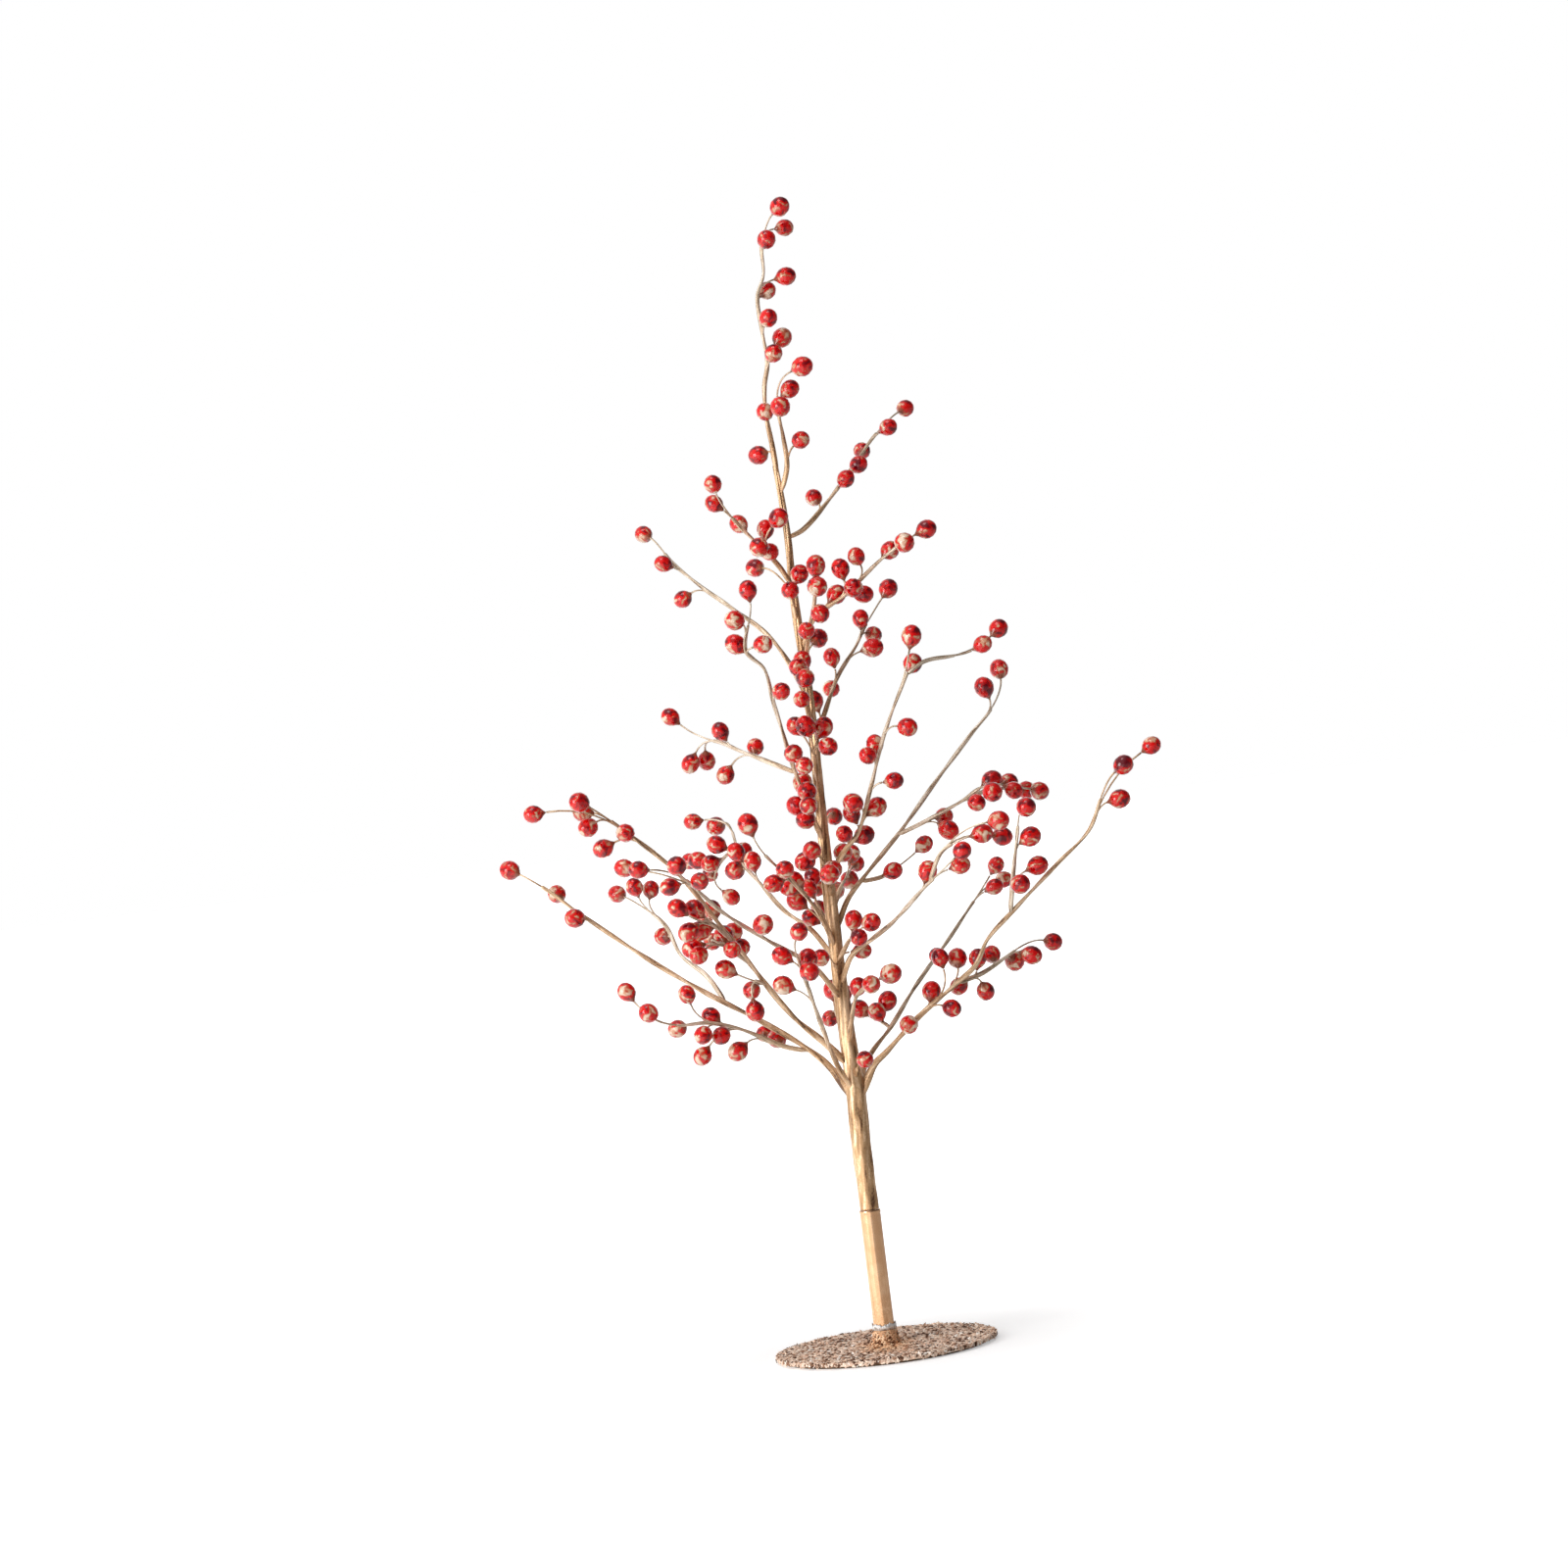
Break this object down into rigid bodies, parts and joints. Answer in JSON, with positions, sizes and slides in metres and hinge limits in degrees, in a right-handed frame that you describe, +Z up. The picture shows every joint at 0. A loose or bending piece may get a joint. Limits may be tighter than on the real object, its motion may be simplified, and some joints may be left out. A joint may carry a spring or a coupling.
{
  "type": "artificial berry tree",
  "caption": "Tabletop artificial tree: round glitter base, gold pole, taped trunk and bendable wire branches with glossy red berries.",
  "frame": {"origin": "centre of the underside of the round base", "axes": "+Z up along the pole, +X to the right and -Y toward the viewer of the picture"},
  "size_m": [0.3493, 0.2627, 0.5988],
  "materials": {
    "glitter_base": "coarse champagne-gold glitter over a gold coat",
    "felt": "brown felt",
    "steel": "zinc-plated steel",
    "gold_pole": "smooth satin gold paint",
    "silver_collar": "pale silver, ragged edge",
    "gold_wrap": "gold tape wound over wire",
    "berry": "glossy translucent red with gold flecks"
  },
  "bodies": {
    "base": {"base_pad": "felt", "base_plate": "glitter_base", "base_screw": "steel", "trunk_socket": "glitter_base"},
    "pole": {"lower_pole": "gold_pole", "foot_collar": "silver_collar"},
    "crown": {"trunk_spigot": "steel", "crown_trunk": "gold_wrap", "leader_tip_sprig": "berry", "leader_side_sprig": "berry", "top_right_sprig": "berry", "top_left_sprig": "berry", "upper_stub_left": "berry", "upper_stub_front": "berry", "upper_centre_sprig": "berry", "upper_trunk_cluster": "berry", "right_upper_twig": "berry", "mid_trunk_cluster": "berry", "right_front_branch": "berry", "right_front_sprig": "berry", "right_back_branch": "berry", "right_back_sprig": "berry", "low_trunk_stub": "berry", "low_right_twig": "berry", "mid_right_twig": "berry", "left_inner_branch": "berry", "left_back_branch": "berry", "left_back_sprig": "berry", "low_front_twig": "berry", "low_back_twig": "berry", "mid_left_stub": "berry", "mid_left_twig": "berry", "mid_right_stub": "berry", "mid_right_back_twig": "berry", "upper_left_stub": "berry", "upper_back_stub": "berry"},
    "upper_right": {"upper_right_branch": "berry"},
    "left_upper": {"left_upper_branch": "berry"},
    "left_twig": {"left_twig_branch": "berry", "left_twig_sprig": "berry"},
    "right_upper": {"right_upper_branch": "berry", "right_upper_side_sprig": "berry"},
    "right_high": {"right_high_branch": "berry", "right_high_outer_sprig": "berry", "right_high_inner_sprig": "berry"},
    "right_low": {"right_low_branch": "berry", "right_low_upright_sprig": "berry", "right_low_side_sprig": "berry"},
    "left_low": {"left_low_branch": "berry", "left_low_under_sprig": "berry", "left_low_upper_sprig": "berry"},
    "left_mid": {"left_mid_branch": "berry", "left_mid_upper_sprig": "berry", "left_mid_lower_sprig": "berry", "left_mid_under_twig": "berry"},
    "left_high": {"left_high_branch": "berry"}
  },
  "joints": [
    {"name": "pole_turn", "type": "hinge", "parent": "base", "child": "pole", "pos_m": [0, 0, 0.0109], "axis": [0, 0, 1], "continuous": true},
    {"name": "crown_lift", "type": "slide", "parent": "pole", "child": "crown", "axis": [0, 0, 1], "range_m": [0, 0.035]},
    {"name": "upper_right_bend", "type": "hinge", "parent": "crown", "child": "upper_right", "pos_m": [0.00338, -0.00278, 0.37392], "axis": [0, -1, 0], "range_deg": [-8, 8]},
    {"name": "left_upper_bend", "type": "hinge", "parent": "crown", "child": "left_upper", "pos_m": [-0.00142, 0.00376, 0.34834], "axis": [0, 1, 0], "range_deg": [-8, 8]},
    {"name": "left_twig_bend", "type": "hinge", "parent": "crown", "child": "left_twig", "pos_m": [-0.0025, -0.00462, 0.27599], "axis": [0, 1, 0], "range_deg": [-8, 8]},
    {"name": "right_upper_bend", "type": "hinge", "parent": "crown", "child": "right_upper", "pos_m": [0.00392, -0.0034, 0.25561], "axis": [0, -1, 0], "range_deg": [-8, 8]},
    {"name": "right_high_bend", "type": "hinge", "parent": "crown", "child": "right_high", "pos_m": [0.00409, 0.00272, 0.22853], "axis": [0, -1, 0], "range_deg": [-8, 8]},
    {"name": "right_low_bend", "type": "hinge", "parent": "crown", "child": "right_low", "pos_m": [0.00787, -0.00109, 0.14337], "axis": [0, -1, 0], "range_deg": [-8, 8]},
    {"name": "left_low_bend", "type": "hinge", "parent": "crown", "child": "left_low", "pos_m": [-0.00768, 0.00095, 0.14383], "axis": [0, 1, 0], "range_deg": [-8, 8]},
    {"name": "left_mid_bend", "type": "hinge", "parent": "crown", "child": "left_mid", "pos_m": [-0.00772, -0.0031, 0.15844], "axis": [0, 1, 0], "range_deg": [-8, 8]},
    {"name": "left_high_bend", "type": "hinge", "parent": "crown", "child": "left_high", "pos_m": [-0.00412, -0.00525, 0.19275], "axis": [0, 1, 0], "range_deg": [-8, 8]}
  ]
}
